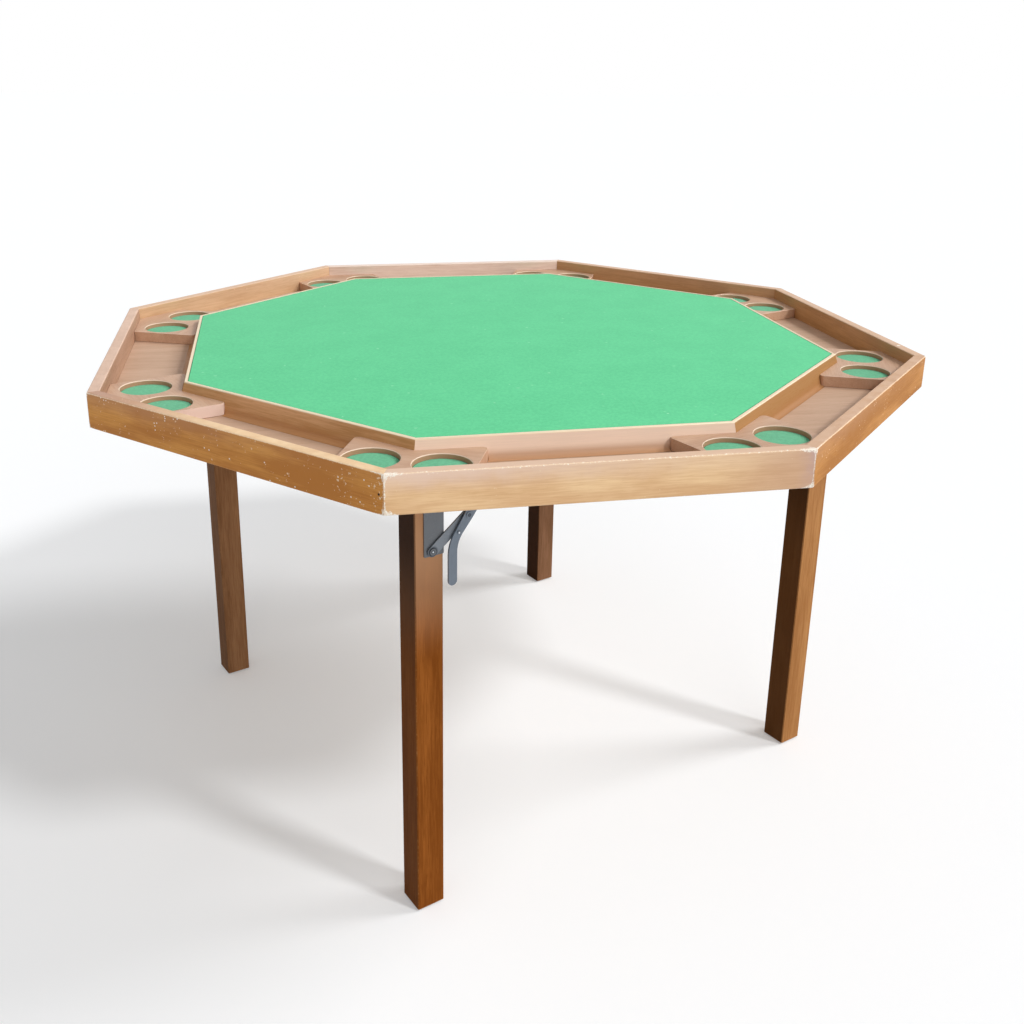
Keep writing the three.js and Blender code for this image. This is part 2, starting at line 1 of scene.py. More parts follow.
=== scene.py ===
# Folding poker table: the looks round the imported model, in metres, with the floor at zero.
import math

import bpy
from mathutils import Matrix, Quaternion, Vector


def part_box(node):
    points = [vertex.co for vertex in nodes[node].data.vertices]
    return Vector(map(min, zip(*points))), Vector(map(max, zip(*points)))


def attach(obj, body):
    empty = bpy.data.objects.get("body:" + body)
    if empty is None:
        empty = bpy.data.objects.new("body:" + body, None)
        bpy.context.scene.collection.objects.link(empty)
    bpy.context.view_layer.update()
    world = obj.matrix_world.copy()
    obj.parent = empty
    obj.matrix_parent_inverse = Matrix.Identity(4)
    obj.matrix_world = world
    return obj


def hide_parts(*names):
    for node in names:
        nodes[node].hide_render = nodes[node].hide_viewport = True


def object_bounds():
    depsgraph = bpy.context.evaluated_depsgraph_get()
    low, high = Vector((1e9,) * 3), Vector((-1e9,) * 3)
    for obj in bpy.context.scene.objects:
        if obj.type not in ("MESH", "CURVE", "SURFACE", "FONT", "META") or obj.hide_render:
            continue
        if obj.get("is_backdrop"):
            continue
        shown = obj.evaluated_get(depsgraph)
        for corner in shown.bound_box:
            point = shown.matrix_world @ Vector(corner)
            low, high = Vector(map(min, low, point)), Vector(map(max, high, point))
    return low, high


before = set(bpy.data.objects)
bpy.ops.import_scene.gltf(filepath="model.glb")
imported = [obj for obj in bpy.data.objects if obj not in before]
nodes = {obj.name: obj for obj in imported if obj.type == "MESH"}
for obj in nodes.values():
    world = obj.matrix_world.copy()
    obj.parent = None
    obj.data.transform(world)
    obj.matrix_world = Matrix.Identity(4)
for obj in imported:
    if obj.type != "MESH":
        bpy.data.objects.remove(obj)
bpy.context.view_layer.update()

# Camera: a phone held at standing height, in front of the table and a little to its left,
# looking slightly to the right and down. The picture's own centre sits up and left of the frame's.
picture_size = 1024
focal_pixels = 1106.85
centre_column = 487.9
centre_row = 408.7
camera_place = (-0.38985, -1.89362, 1.2431)
camera_yaw = math.radians(11.02)
camera_pitch = math.radians(18.03)
camera_roll = math.radians(0.63)
sensor_width = 36

camera_data = bpy.data.cameras.new("camera")
camera_data.sensor_width = sensor_width
camera_data.lens = focal_pixels / picture_size * sensor_width
camera_data.shift_x = (picture_size / 2 - centre_column) / picture_size
camera_data.shift_y = (centre_row - picture_size / 2) / picture_size
camera = bpy.data.objects.new("camera", camera_data)
ahead = Vector((
    math.sin(camera_yaw) * math.cos(camera_pitch),
    math.cos(camera_yaw) * math.cos(camera_pitch),
    -math.sin(camera_pitch),
))
camera.rotation_mode = "QUATERNION"
camera.rotation_quaternion = ahead.to_track_quat("-Z", "Y") @ Quaternion((0, 0, 1), camera_roll)
camera.location = camera_place
bpy.context.scene.collection.objects.link(camera)
bpy.context.scene.camera = camera
bpy.context.scene.view_settings.view_transform = "Standard"

# Floor and studio light: a plain pale floor that keeps the table's shadow, a white surround for
# the camera, and three soft lamps. Two on the right lay the shadows back and to the left, and a
# broad low one in front fills the faces towards the camera.
floor_reach = 60
floor_colour = (0.755, 0.768, 0.783, 1)
floor_glow = 0.22
surround_light = 0.38
lamps = {
    "key_lamp": {"strength": 1.25, "spread": 8, "heading": -40, "height": 44},
    "side_lamp": {"strength": 1.35, "spread": 18, "heading": 4, "height": 40},
    "front_lamp": {"strength": 0.7, "spread": 50, "heading": -78, "height": 25},
}


def put(tree, kind, values=None, **settings):
    """Adds a shader node, with its inputs linked or set by values and its options by settings."""
    made = tree.nodes.new("ShaderNode" + kind)
    for name, value in settings.items():
        setattr(made, name, value)
    for socket, value in (values or {}).items():
        if isinstance(value, bpy.types.NodeSocket):
            tree.links.new(value, made.inputs[socket])
        else:
            made.inputs[socket].default_value = value
    return made


def new_material(name):
    material = bpy.data.materials.new(name)
    material.use_nodes = True
    material.node_tree.nodes.clear()
    return material, material.node_tree


def calc(tree, operation, *values):
    return put(tree, "Math", dict(enumerate(values)), operation=operation).outputs[0]


def seen_directly(tree):
    """1 for the camera and in mirrors and glass, and 0 for the light that surfaces receive."""
    path = put(tree, "LightPath").outputs
    seen = calc(tree, "MAXIMUM", path["Is Camera Ray"], path["Is Glossy Ray"])
    return calc(tree, "MAXIMUM", seen, path["Is Transmission Ray"])


world = bpy.data.worlds.new("surround")
world.use_nodes = True
bpy.context.scene.world = world
tree = world.node_tree
tree.nodes.clear()
strength = put(tree, "MapRange", {
    "Value": seen_directly(tree), "To Min": surround_light, "To Max": 1,
})
sky = put(tree, "Background", {"Color": (1, 1, 1, 1), "Strength": strength.outputs[0]})
put(tree, "OutputWorld", {"Surface": sky.outputs[0]})

material, tree = new_material("pale_floor")
glow = calc(tree, "MULTIPLY", seen_directly(tree), floor_glow)
skin = put(tree, "BsdfPrincipled", {
    "Base Color": floor_colour,
    "Roughness": 1,
    "Specular IOR Level": 0,
    "Emission Color": (1, 1, 1, 1),
    "Emission Strength": glow,
})
put(tree, "OutputMaterial", {"Surface": skin.outputs[0]})
bpy.ops.object.select_all(action="DESELECT")
bpy.ops.mesh.primitive_plane_add(size=floor_reach)
floor = bpy.context.object
floor.name = "floor"
floor.data.materials.append(material)
floor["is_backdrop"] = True

for lamp_name, setting in lamps.items():
    lamp_data = bpy.data.lights.new(lamp_name, "SUN")
    lamp_data.energy = setting["strength"]
    lamp_data.angle = math.radians(setting["spread"])
    lamp = bpy.data.objects.new(lamp_name, lamp_data)
    heading = math.radians(setting["heading"])
    height = math.radians(setting["height"])
    from_lamp = -Vector((
        math.cos(heading) * math.cos(height),
        math.sin(heading) * math.cos(height),
        math.sin(height),
    ))
    lamp.rotation_mode = "QUATERNION"
    lamp.rotation_quaternion = from_lamp.to_track_quat("-Z", "Y")
    bpy.context.scene.collection.objects.link(lamp)

# Rim: eight boards on edge, mitred at the corners, of stained and lacquered wood. Handling has worn
# the finish off the top edges and corners, where pale bare wood shows in ragged chips.
side_names = [
    "front", "front_right", "right", "back_right", "back", "back_left", "left", "front_left",
]
side_angle = math.radians(45)
half_side = side_angle / 2
front_angle = math.radians(-90)
rim_low, rim_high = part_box("rim_board_front")
rim_outer = -rim_low.y
rim_inner = -rim_high.y
rim_top = rim_high.z
rim_bottom = rim_low.z
rim_corner_along = rim_outer * math.tan(half_side)
rim_edge_ease = 0.0004
smooth_limit = math.radians(38)
flat_limit = math.radians(1)
merge_distance = 0.00001


def finished_copy(name, body, edge_ease):
    """The node's own shape, merged, with its sharp edges eased and its rounds shaded evenly."""
    piece = bpy.data.objects.new(f"{name}_finished", nodes[name].data.copy())
    bpy.context.scene.collection.objects.link(piece)
    bpy.ops.object.select_all(action="DESELECT")
    piece.select_set(True)
    bpy.context.view_layer.objects.active = piece
    bpy.ops.object.mode_set(mode="EDIT")
    bpy.ops.mesh.select_all(action="SELECT")
    bpy.ops.mesh.remove_doubles(threshold=merge_distance)
    bpy.ops.mesh.dissolve_limited(angle_limit=flat_limit)
    bpy.ops.object.mode_set(mode="OBJECT")
    bevel = piece.modifiers.new("eased_edges", "BEVEL")
    bevel.width = edge_ease
    bevel.segments = 2
    bevel.limit_method = "ANGLE"
    bevel.angle_limit = smooth_limit
    bpy.ops.object.modifier_apply(modifier=bevel.name)
    bpy.ops.object.shade_smooth_by_angle(angle=smooth_limit)
    even = piece.modifiers.new("even_shading", "WEIGHTED_NORMAL")
    even.keep_sharp = True
    bpy.ops.object.modifier_apply(modifier=even.name)
    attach(piece, body)
    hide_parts(name)
    return piece


def dress(piece, material):
    piece.data.materials.clear()
    piece.data.materials.append(material)


def new_group(name, inputs, outputs):
    group = bpy.data.node_groups.new(name, "ShaderNodeTree")
    for socket, kind in inputs:
        group.interface.new_socket(socket, in_out="INPUT", socket_type="NodeSocket" + kind)
    for socket, kind in outputs:
        group.interface.new_socket(socket, in_out="OUTPUT", socket_type="NodeSocket" + kind)
    return group, group.nodes.new("NodeGroupInput"), group.nodes.new("NodeGroupOutput")


def use_group(tree, group, values):
    made = tree.nodes.new("ShaderNodeGroup")
    made.node_tree = group
    for socket, value in values.items():
        if isinstance(value, bpy.types.NodeSocket):
            tree.links.new(value, made.inputs[socket])
        else:
            made.inputs[socket].default_value = value
    return made.outputs


def blend_colours(tree, share, low, high):
    return put(tree, "Mix", {0: share, 6: low, 7: high}, data_type="RGBA").outputs[2]


def ramp(tree, value, low, high, to_low=0, to_high=1):
    """Runs smoothly from to_low to to_high while the value goes from low to high, or down to it."""
    values = {
        "Value": value, "From Min": low, "From Max": high, "To Min": to_low, "To Max": to_high,
    }
    return put(tree, "MapRange", values, interpolation_type="SMOOTHSTEP").outputs[0]


def noise(tree, vector, scale, detail, roughness, distortion=0):
    """A noise texture's value. The settings named below hold its scale, detail and roughness."""
    values = {"Vector": vector, "Scale": scale, "Detail": detail, "Roughness": roughness}
    return put(tree, "TexNoise", {**values, "Distortion": distortion}).outputs["Fac"]


def joined(tree, *parts):
    return put(tree, "CombineXYZ", dict(enumerate(parts))).outputs[0]


def spun(tree, vector, turn):
    values = {"Vector": vector, "Angle": turn}
    return put(tree, "VectorRotate", values, rotation_type="Z_AXIS").outputs[0]


# Stained wood whose grain runs along the vector's X: broad tone changes, fine streaks and pores.
# Each stretch gives how closely the marks follow each other along the grain and across it.
grain_marks = {
    "bands": {"stretch": (2.2, 42, 42), "noise": (1.3, 3, 0.6, 0.4), "limits": (0.34, 0.66)},
    "streaks": {"stretch": (20, 470, 470), "noise": (1, 2, 0.6), "limits": (0.38, 0.64)},
    "pores": {"stretch": (70, 1400, 1400), "noise": (1, 1, 0.5), "limits": (0.58, 0.7)},
    "patches": {"stretch": (5, 17, 17), "noise": (1.2, 3, 0.55), "limits": (0.36, 0.66)},
}
band_share = 0.38
pore_share = 0.3
paler_share = 0.08
grain, source, result = new_group(
    "stained_grain",
    [
        ("Vector", "Vector"), ("Pale", "Color"), ("Deep", "Color"),
        ("Streaks", "Float"), ("Blotches", "Float"),
    ],
    [("Color", "Color"), ("Pores", "Float")],
)
marks = {}
for mark, setting in grain_marks.items():
    stretched = put(grain, "Mapping", {
        "Vector": source.outputs["Vector"], "Scale": setting["stretch"],
    }).outputs[0]
    marks[mark] = ramp(grain, noise(grain, stretched, *setting["noise"]), *setting["limits"])
mixed = calc(grain, "MULTIPLY", marks["streaks"], source.outputs["Streaks"])
patched = calc(grain, "MULTIPLY", marks["patches"], source.outputs["Blotches"])
mixed = calc(grain, "ADD", mixed, patched)
mixed = calc(grain, "ADD", mixed, calc(grain, "MULTIPLY", marks["bands"], band_share))
mixed = calc(grain, "ADD", mixed, calc(grain, "MULTIPLY", marks["pores"], pore_share))
mixed = calc(grain, "SUBTRACT", mixed, paler_share)
colour = blend_colours(grain, mixed, source.outputs["Pale"], source.outputs["Deep"])
grain.links.new(colour, result.inputs["Color"])
grain.links.new(marks["pores"], result.inputs["Pores"])

# Worn edge: a mask that is full at an edge and breaks up away from it.
flake_noise = (230, 4, 0.8)
flake_middle = 0.5
flake_softness = (-0.0003, 0.0007)
wear, source, result = new_group(
    "edge_wear",
    [("Vector", "Vector"), ("Distance", "Float"), ("Width", "Float"), ("Ragged", "Float")],
    [("Mask", "Float")],
)
flake = noise(wear, source.outputs["Vector"], *flake_noise)
flake = calc(wear, "SUBTRACT", flake, flake_middle)
offset = calc(wear, "MULTIPLY", flake, source.outputs["Ragged"])
reach = calc(wear, "ADD", source.outputs["Width"], offset)
inside = calc(wear, "SUBTRACT", reach, source.outputs["Distance"])
wear.links.new(ramp(wear, inside, *flake_softness), result.inputs["Mask"])

# Chips: small scattered spots where the finish has flaked off, more of them where Amount is high.
chip_noise = (240, 2, 0.6)
cluster_noise = (26, 1, 0.5)
cluster_share = 0.35
chip_limits = (0.93, 0.97)
chips, source, result = new_group(
    "flaked_chips", [("Vector", "Vector"), ("Amount", "Float")], [("Mask", "Float")]
)
chip = noise(chips, source.outputs["Vector"], *chip_noise)
cluster = noise(chips, source.outputs["Vector"], *cluster_noise)
level = calc(chips, "ADD", chip, calc(chips, "MULTIPLY", cluster, cluster_share))
level = calc(chips, "ADD", level, source.outputs["Amount"])
chips.links.new(ramp(chips, level, *chip_limits), result.inputs["Mask"])


# Lacquered wood: what the wooden pieces share, on top of the three groups above.
smoother_between_pores = 0.03
rougher_in_pores = 0.15
pore_strength = 0.12
pore_height = 0.0003
spot_core = 0.5


def turned_place(tree, turn):
    """The object's own place, and its parts turned: X runs outwards and Y along the piece."""
    place = put(tree, "TexCoord").outputs["Object"]
    return place, put(tree, "SeparateXYZ", {0: spun(tree, place, -turn)}).outputs


def lacquered_wood(
    tree, along, pale, deep, streaks=0.3, blotches=0.3, roughness=0.5, gloss=0.15, edit=None
):
    """Stained wood under a thin worn lacquer. edit may change its colour."""
    wood = use_group(tree, grain, {
        "Vector": along, "Pale": pale, "Deep": deep, "Streaks": streaks, "Blotches": blotches,
    })
    colour = wood["Color"] if edit is None else edit(wood["Color"])
    sheen = put(tree, "MapRange", {
        "Value": wood["Pores"],
        "To Min": roughness - smoother_between_pores,
        "To Max": roughness + rougher_in_pores,
    })
    bump = put(tree, "Bump", {
        "Height": wood["Pores"], "Strength": pore_strength, "Distance": pore_height,
    })
    skin = put(tree, "BsdfPrincipled", {
        "Base Color": colour, "Roughness": sheen.outputs[0], "Normal": bump.outputs[0],
        "Specular IOR Level": gloss,
    })
    put(tree, "OutputMaterial", {"Surface": skin.outputs[0]})


def level_grain(tree, parts, shift=0):
    """Grain that runs along the piece. A shift keeps two pieces from carrying the same figure."""
    along = parts[1] if shift == 0 else calc(tree, "ADD", parts[1], shift)
    return joined(tree, along, parts[0], parts[2])


def near_spot(tree, first, second, spot, radius):
    """A small mask round one place on a face, given by two of its coordinates."""
    across = calc(tree, "SUBTRACT", first, spot[0])
    rise = calc(tree, "SUBTRACT", second, spot[1])
    across = calc(tree, "MULTIPLY", across, across)
    rise = calc(tree, "MULTIPLY", rise, rise)
    gone = calc(tree, "SQRT", calc(tree, "ADD", across, rise))
    return ramp(tree, gone, radius, radius * spot_core)


# The colours and the wear of the rim's boards, side by side.
rim_tones = {
    "front": ((0.86, 0.60, 0.34, 1), (0.68, 0.41, 0.21, 1)),
    "front_right": ((0.55, 0.255, 0.075, 1), (0.40, 0.165, 0.04, 1)),
    "right": ((0.60, 0.34, 0.15, 1), (0.44, 0.23, 0.09, 1)),
    "back_right": ((0.58, 0.34, 0.17, 1), (0.42, 0.23, 0.10, 1)),
    "back": ((0.86, 0.70, 0.60, 1), (0.68, 0.50, 0.40, 1)),
    "back_left": ((0.68, 0.46, 0.28, 1), (0.54, 0.33, 0.18, 1)),
    "left": ((0.50, 0.31, 0.21, 1), (0.37, 0.21, 0.13, 1)),
    "front_left": ((0.66, 0.30, 0.066, 1), (0.47, 0.18, 0.034, 1)),
}
bare_wood = (0.93, 0.87, 0.76, 1)
rubbed_wood = (0.88, 0.70, 0.48, 1)
# Painted sheen: a pale pinkish-grey band down from the top of the boards, strongest on the front.
painted_sheen_colour = (0.80, 0.60, 0.50, 1)
end_corner_purple = (0.52, 0.35, 0.34, 1)
end_colour = (0.56, 0.34, 0.24, 1)
dent_colour = (0.02, 0.01, 0.005, 1)
top_colours = {
    "front_left": (0.93, 0.70, 0.44, 1),
    "left": (0.76, 0.54, 0.42, 1),
    "back": (0.84, 0.70, 0.62, 1),
}
top_colour = (0.72, 0.50, 0.36, 1)
top_far_colour = (0.50, 0.31, 0.23, 1)
painted_sheen_amounts = {"front": 0.8}
usual_painted_sheen = 0.12
painted_sheen_depth = (0.042, 0.008)
painted_sheen_wander = 0.02
cloud_noise = (34, 3, 0.6)
breakup_noise = (520, 3, 0.7)
painted_sheen_along = (-0.2, 0.22, 1, 0.25)
purple_reach = (0.03, 0.002)
purple_shares = (0.3, 0.7, 0.2, 0.7)
reddened_end = (0.12, 0.26, 0, 0.5)
top_depth = (0.0016, 0.0004)
top_shares = (0.2, 0.8, 0.6, 0.95)
top_far_reach = (-0.25, 0.02)
rim_streaks = 0.36
blotch_amounts = {"front": 0.6, "front_left": 0.9, "front_right": 0.7}
usual_blotches = 0.4
rim_roughness = 0.5
rim_glosses = {"front_right": 0.03}
usual_gloss = 0.15
chip_amounts = {"front_left": 0.065, "front_right": 0.035}
chip_share = 0.7
corner_wear = {
    "front": (1.25, 1), "front_right": (0.4, 0.3), "right": (0.35, 0.2),
    "left": (0.2, 0.35), "front_left": (0.35, 0.5),
}
usual_wear = (0.2, 0.2)
worn_top_width = 0.0014
worn_foot_width = 0.0009
worn_edge_ragged = 0.0022
worn_inside_ragged = 0.002
top_patch = {"reach": (0.032, 0.003), "width": 0.0042, "ragged": 0.015}
foot_patch = {"reach": (0.024, 0.002), "width": 0.0055, "ragged": 0.009}
arris_width = 0.0008
arris_flare = 0.0035
arris_flare_reach = (0.012, 0.001)
arris_set_back = 0.0012
arris_ragged = 0.006
broken_shares = (0.4, 0.56, 0.3, 0.95)
pale_chips = [
    (0.2064, 0.7422), (0.2557, 0.7419), (0.2408, 0.7175), (0.2265, 0.7206), (0.248, 0.7479),
    (-0.2441, 0.7603), (-0.2378, 0.7580), (-0.2326, 0.7582), (-0.1309, 0.7445), (-0.1254, 0.7456),
    (-0.1298, 0.7404), (-0.1299, 0.7346), (-0.1078, 0.7586), (-0.1071, 0.7559), (-0.1081, 0.7524),
    (-0.0900, 0.7583), (-0.0822, 0.7599), (-0.0316, 0.7293), (-0.0228, 0.7281), (0.0157, 0.7240),
    (0.0806, 0.7332), (0.0889, 0.7101), (0.1329, 0.7117),
]
pale_chip_radius = 0.0013
dent = (0.2705, 0.7345)
dent_radius = 0.0022
top_chip = (-0.207, 0.6607)
top_chip_radius = 0.004
grain_shift = 1.7


def rim_colour(tree, place, parts, side_name):
    """Adds a painted sheen, the pale top, the worn edges and the flaked corners to a board's stain.
    """
    from_top = calc(tree, "SUBTRACT", rim_top, parts[2])
    from_bottom = calc(tree, "SUBTRACT", parts[2], rim_bottom)
    from_outside = calc(tree, "SUBTRACT", rim_outer, parts[0])
    from_inside = calc(tree, "SUBTRACT", parts[0], rim_inner)
    from_first = calc(tree, "ADD", rim_corner_along, parts[1])
    from_last = calc(tree, "SUBTRACT", rim_corner_along, parts[1])
    top_edge = calc(tree, "MAXIMUM", from_top, from_outside)
    foot_edge = calc(tree, "MAXIMUM", from_bottom, from_outside)
    clouds = noise(tree, place, *cloud_noise)
    broken = ramp(tree, noise(tree, place, *breakup_noise), *broken_shares)
    on_top = ramp(tree, from_top, *top_depth)
    near_edge = ramp(tree, calc(tree, "MINIMUM", from_top, from_bottom), *arris_flare_reach)

    # Stain colours, with a painted sheen near the top of the board.
    def stain_and_sheen(colour):
        depth = calc(tree, "ADD", from_top, calc(tree, "MULTIPLY", clouds, painted_sheen_wander))
        sheen_amount = painted_sheen_amounts.get(side_name, usual_painted_sheen)
        sheen_mask = calc(tree, "MULTIPLY", ramp(tree, depth, *painted_sheen_depth), sheen_amount)
        sheen_mask = calc(tree, "MULTIPLY", sheen_mask, ramp(tree, parts[1], *painted_sheen_along))
        colour = blend_colours(tree, sheen_mask, colour, painted_sheen_colour)
        if side_name == "front":
            colour = blend_colours(tree, ramp(tree, parts[1], *reddened_end), colour, end_colour)
            # A patchy purplish darkening near the front board's last corner.
            purple_patch = ramp(tree, from_last, *purple_reach)
            purple_patch = calc(tree, "MULTIPLY", purple_patch, ramp(tree, clouds, *purple_shares))
            colour = blend_colours(tree, purple_patch, colour, end_corner_purple)
        top_tone = top_colours.get(side_name, top_colour)
        if side_name == "front_left":
            top_near = ramp(tree, parts[1], *top_far_reach)
            top_tone = blend_colours(tree, top_near, top_far_colour, top_tone)
        top_stain = calc(tree, "MULTIPLY", on_top, ramp(tree, clouds, *top_shares))
        return blend_colours(tree, top_stain, colour, top_tone)

    def chipped(colour):
        amount = chip_amounts.get(side_name, 0.0)
        flakes = use_group(tree, chips, {"Vector": place, "Amount": amount})[0]
        return blend_colours(tree, calc(tree, "MULTIPLY", flakes, chip_share), colour, rubbed_wood)

    def worn_edges():
        """Each worn place: how far it is, how wide it is, how ragged, and the colour it shows."""
        inside_edge = calc(tree, "MAXIMUM", from_top, from_inside)
        places = [
            (top_edge, worn_top_width, worn_edge_ragged, rubbed_wood),
            (foot_edge, worn_foot_width, worn_edge_ragged, rubbed_wood),
            (inside_edge, worn_top_width / 2, worn_inside_ragged, rubbed_wood),
        ]
        for gone, strength in zip((from_first, from_last), corner_wear.get(side_name, usual_wear)):
            for edge, patch in ((top_edge, top_patch), (foot_edge, foot_patch)):
                near_corner = ramp(tree, gone, *patch["reach"])
                width = calc(tree, "MULTIPLY", near_corner, patch["width"] * strength)
                places.append((edge, width, patch["ragged"] * strength, bare_wood))
            flare = calc(tree, "MULTIPLY", near_edge, arris_flare * strength)
            width = calc(tree, "ADD", arris_width * strength, flare)
            arris = calc(tree, "SUBTRACT", gone, arris_set_back)
            arris = calc(tree, "MAXIMUM", arris, from_outside)
            places.append((arris, width, arris_ragged * strength, bare_wood))
        return places

    def spotted(colour, across, rise, spot, radius, spot_colour, share=1):
        mask = calc(tree, "MULTIPLY", near_spot(tree, across, rise, spot, radius), share)
        return blend_colours(tree, mask, colour, spot_colour)

    def edit(colour):
        colour = chipped(stain_and_sheen(colour))
        for distance, width, ragged, wood_colour in worn_edges():
            mask = use_group(tree, wear, {
                "Vector": place, "Distance": distance, "Width": width, "Ragged": ragged,
            })[0]
            colour = blend_colours(tree, calc(tree, "MULTIPLY", mask, broken), colour, wood_colour)
        if side_name == "front_left":
            for chip in pale_chips:
                colour = spotted(colour, parts[1], parts[2], chip, pale_chip_radius, bare_wood)
            colour = spotted(colour, parts[1], parts[2], dent, dent_radius, dent_colour)
        if side_name == "right":
            colour = spotted(
                colour, parts[1], parts[0], top_chip, top_chip_radius, bare_wood, on_top
            )
        return colour

    return edit


for side, side_name in enumerate(side_names):
    material, tree = new_material(f"rim_wood_{side_name}")
    place, parts = turned_place(tree, front_angle + side * side_angle)
    pale, deep = rim_tones[side_name]
    lacquered_wood(
        tree, level_grain(tree, parts, side * grain_shift), pale, deep,
        streaks=rim_streaks,
        blotches=blotch_amounts.get(side_name, usual_blotches),
        roughness=rim_roughness,
        gloss=rim_glosses.get(side_name, usual_gloss),
        edit=rim_colour(tree, place, parts, side_name),
    )
    dress(finished_copy(f"rim_board_{side_name}", "table_top", rim_edge_ease), material)

# Base panel: one thin board let into the rim, which shows as the floor of the troughs. It is
# stained on top and left plain underneath, where the table brackets are screwed on.
panel_pale = (0.60, 0.41, 0.295, 1)
panel_deep = (0.49, 0.32, 0.215, 1)
panel_plain = (0.52, 0.36, 0.22, 1)
panel_stain_depth = 0.001
panel_low, panel_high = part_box("base_panel")
material, tree = new_material("panel_wood_floor")
place, parts = turned_place(tree, 0)
beneath = ramp(tree, parts[2], panel_high.z - panel_stain_depth, panel_low.z)
lacquered_wood(
    tree, place, panel_pale, panel_deep,
    streaks=0.4, blotches=0.3, roughness=0.55, gloss=0.1,
    edit=lambda colour: blend_colours(tree, beneath, colour, panel_plain),
)
dress(nodes["base_panel"], material)

# Deck: a core board edged with solid wood, whose outer wall leans in and is coved at the foot.
# The edging's top shows as a pale line round the felt, and its grain follows each side. Sides are
# counted from the one on the right, anticlockwise seen from above, so the front one is -2.
edge_pale = (0.70, 0.42, 0.22, 1)
edge_deep = (0.50, 0.27, 0.11, 1)
edge_front = (0.90, 0.73, 0.62, 1)
edge_crest = (0.88, 0.72, 0.52, 1)
# Painted shade for the foot of the cove and for the front-right side.
edge_cove_shade = (0.42, 0.20, 0.08, 1)
edge_shaded = (0.38, 0.19, 0.065, 1)
edge_ease = 0.0004
edge_shift = 1.9
crest_depth = (0.0022, 0.0007)
cove_height = 0.017
cove_shade_share = 0.85
front_side = -2
front_right_side = -1
bleached_share = 0.7
shaded_share = 0.85
deck_low, deck_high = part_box("deck_edging")


def side_place(tree):
    """A place's parts turned to the nearest of the eight sides, and which side that is."""
    place = put(tree, "TexCoord").outputs["Object"]
    parts = put(tree, "SeparateXYZ", {0: place}).outputs
    heading = calc(tree, "ARCTAN2", parts[1], parts[0])
    side = calc(tree, "ROUND", calc(tree, "DIVIDE", heading, side_angle))
    back = calc(tree, "MULTIPLY", side, -side_angle)
    return put(tree, "SeparateXYZ", {0: spun(tree, place, back)}).outputs, side


material, tree = new_material("deck_core_wood")
place, parts = turned_place(tree, 0)
lacquered_wood(tree, level_grain(tree, parts), panel_pale, panel_deep)
dress(nodes["deck_core"], material)

material, tree = new_material("deck_edge_wood")
parts, side = side_place(tree)
figure_shift = calc(tree, "MULTIPLY", side, edge_shift)
along = joined(tree, calc(tree, "ADD", parts[1], figure_shift), parts[0], parts[2])
crest = ramp(tree, parts[2], deck_high.z - crest_depth[0], deck_high.z - crest_depth[1])
# Painted shade: the wall darkens towards its coved foot.
foot = ramp(tree, parts[2], deck_low.z + cove_height, deck_low.z, 0, cove_shade_share)
bleached = calc(tree, "MULTIPLY", calc(tree, "COMPARE", side, front_side, 0.5), bleached_share)
shaded = calc(tree, "MULTIPLY", calc(tree, "COMPARE", side, front_right_side, 0.5), shaded_share)


def edging_colour(colour):
    """The front side is bleached, painted shade darkens the next side, and painted shade darkens
    every side into its cove.
    """
    colour = blend_colours(tree, bleached, colour, edge_front)
    colour = blend_colours(tree, shaded, colour, edge_shaded)
    colour = blend_colours(tree, foot, colour, edge_cove_shade)
    return blend_colours(tree, crest, colour, edge_crest)


lacquered_wood(
    tree, along, edge_pale, edge_deep,
    streaks=0.45, blotches=0.5, roughness=0.45, gloss=0.15, edit=edging_colour,
)
dress(finished_copy("deck_edging", "table_top", edge_ease), material)

# Playing felt: green wool felt stretched flat over the core board and tucked in along the
# edging, where its edge rolls down and a painted shadow darkens a narrow seam along it.
felt_low, felt_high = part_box("playing_felt")
felt_flat = felt_high.x
felt_roll = 0.0012
felt_dip = 0.0003
roll_steps = [(0.4, 0.7), (0.6, 0.3)]
felt_green = (0.157, 0.705, 0.348, 1)
felt_shade = (0.117, 0.585, 0.280, 1)
felt_lint = (0.45, 0.85, 0.62, 1)
# Painted shadow along the felt's tucked edge.
felt_seam_shadow = (0.03, 0.14, 0.07, 1)
lint_marks = [(-0.2778, -0.2464), (0.1437, -0.4846)]
lint_radius = 0.0022
lint_share = 0.7
speck_noise = (95, 1, 0.4)
speck_limits = (0.75, 0.82, 0, 0.5)
mottle_noises = {"fibre": (900, 3, 0.7), "tuft": (210, 2, 0.6), "cloud": (13, 3, 0.6)}
mottle_limits = (0.35, 0.65)
mottle_shares = {"fibre": 0.4, "tuft": 0.4, "cloud": 0.2}
seam_shadow_reach = (0.0016, 0.0003)
nap_strength = 0.5
nap_height = 0.0004
roll_limit = math.radians(50)
table_sides = 8


